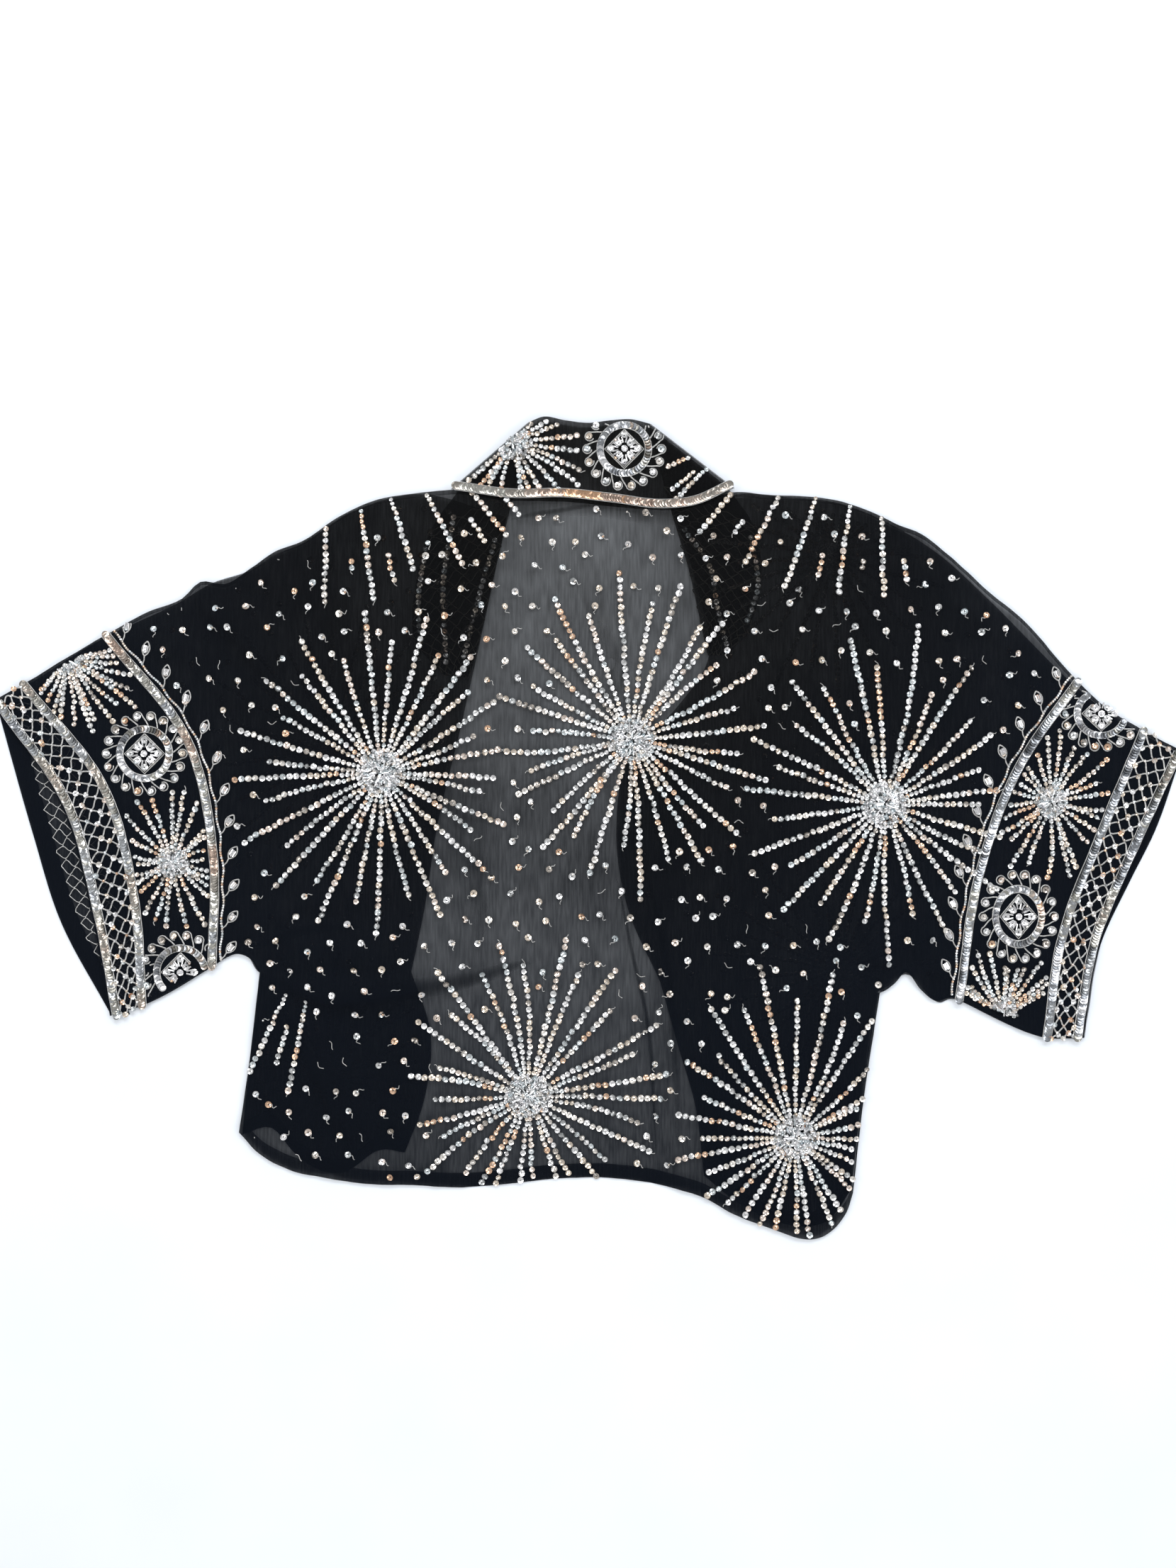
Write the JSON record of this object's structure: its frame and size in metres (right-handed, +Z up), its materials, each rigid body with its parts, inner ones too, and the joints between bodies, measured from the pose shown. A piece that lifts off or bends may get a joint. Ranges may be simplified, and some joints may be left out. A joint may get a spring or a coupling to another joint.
{
  "type": "sheer evening jacket",
  "caption": "Sheer evening jacket with short kimono sleeves, a turned-down collar and sequin trims, laid flat with its back up.",
  "frame": {"origin": "middle of the jacket's outline, on the surface that it lies on", "axes": "+X towards the wearer's right sleeve, +Y towards the collar, +Z up from the surface"},
  "size_m": [0.924, 0.6371, 0.0096],
  "materials": {
    "black_chiffon": "sheer matte crinkle chiffon",
    "silver_sequin": "metallised cup sequins and glass beads"
  },
  "bodies": {
    "root": {"back": "black_chiffon", "front_left": "black_chiffon", "front_right": "black_chiffon", "lapel_left": "black_chiffon", "lapel_right": "black_chiffon", "collar": "black_chiffon", "trim_collar": "silver_sequin", "trim_left_cuff_edge": "silver_sequin", "trim_left_cuff_middle": "silver_sequin", "trim_left_cuff_inner": "silver_sequin", "trim_right_cuff_edge": "silver_sequin", "trim_right_cuff_middle": "silver_sequin", "trim_right_cuff_inner": "silver_sequin", "left_cuff_medallion_ring": "silver_sequin", "left_cuff_medallion_rosette": "silver_sequin", "right_cuff_medallion_ring": "silver_sequin", "right_cuff_medallion_rosette": "silver_sequin", "collar_medallion_ring": "silver_sequin", "collar_medallion_rosette": "silver_sequin"}
  },
  "joints": []
}
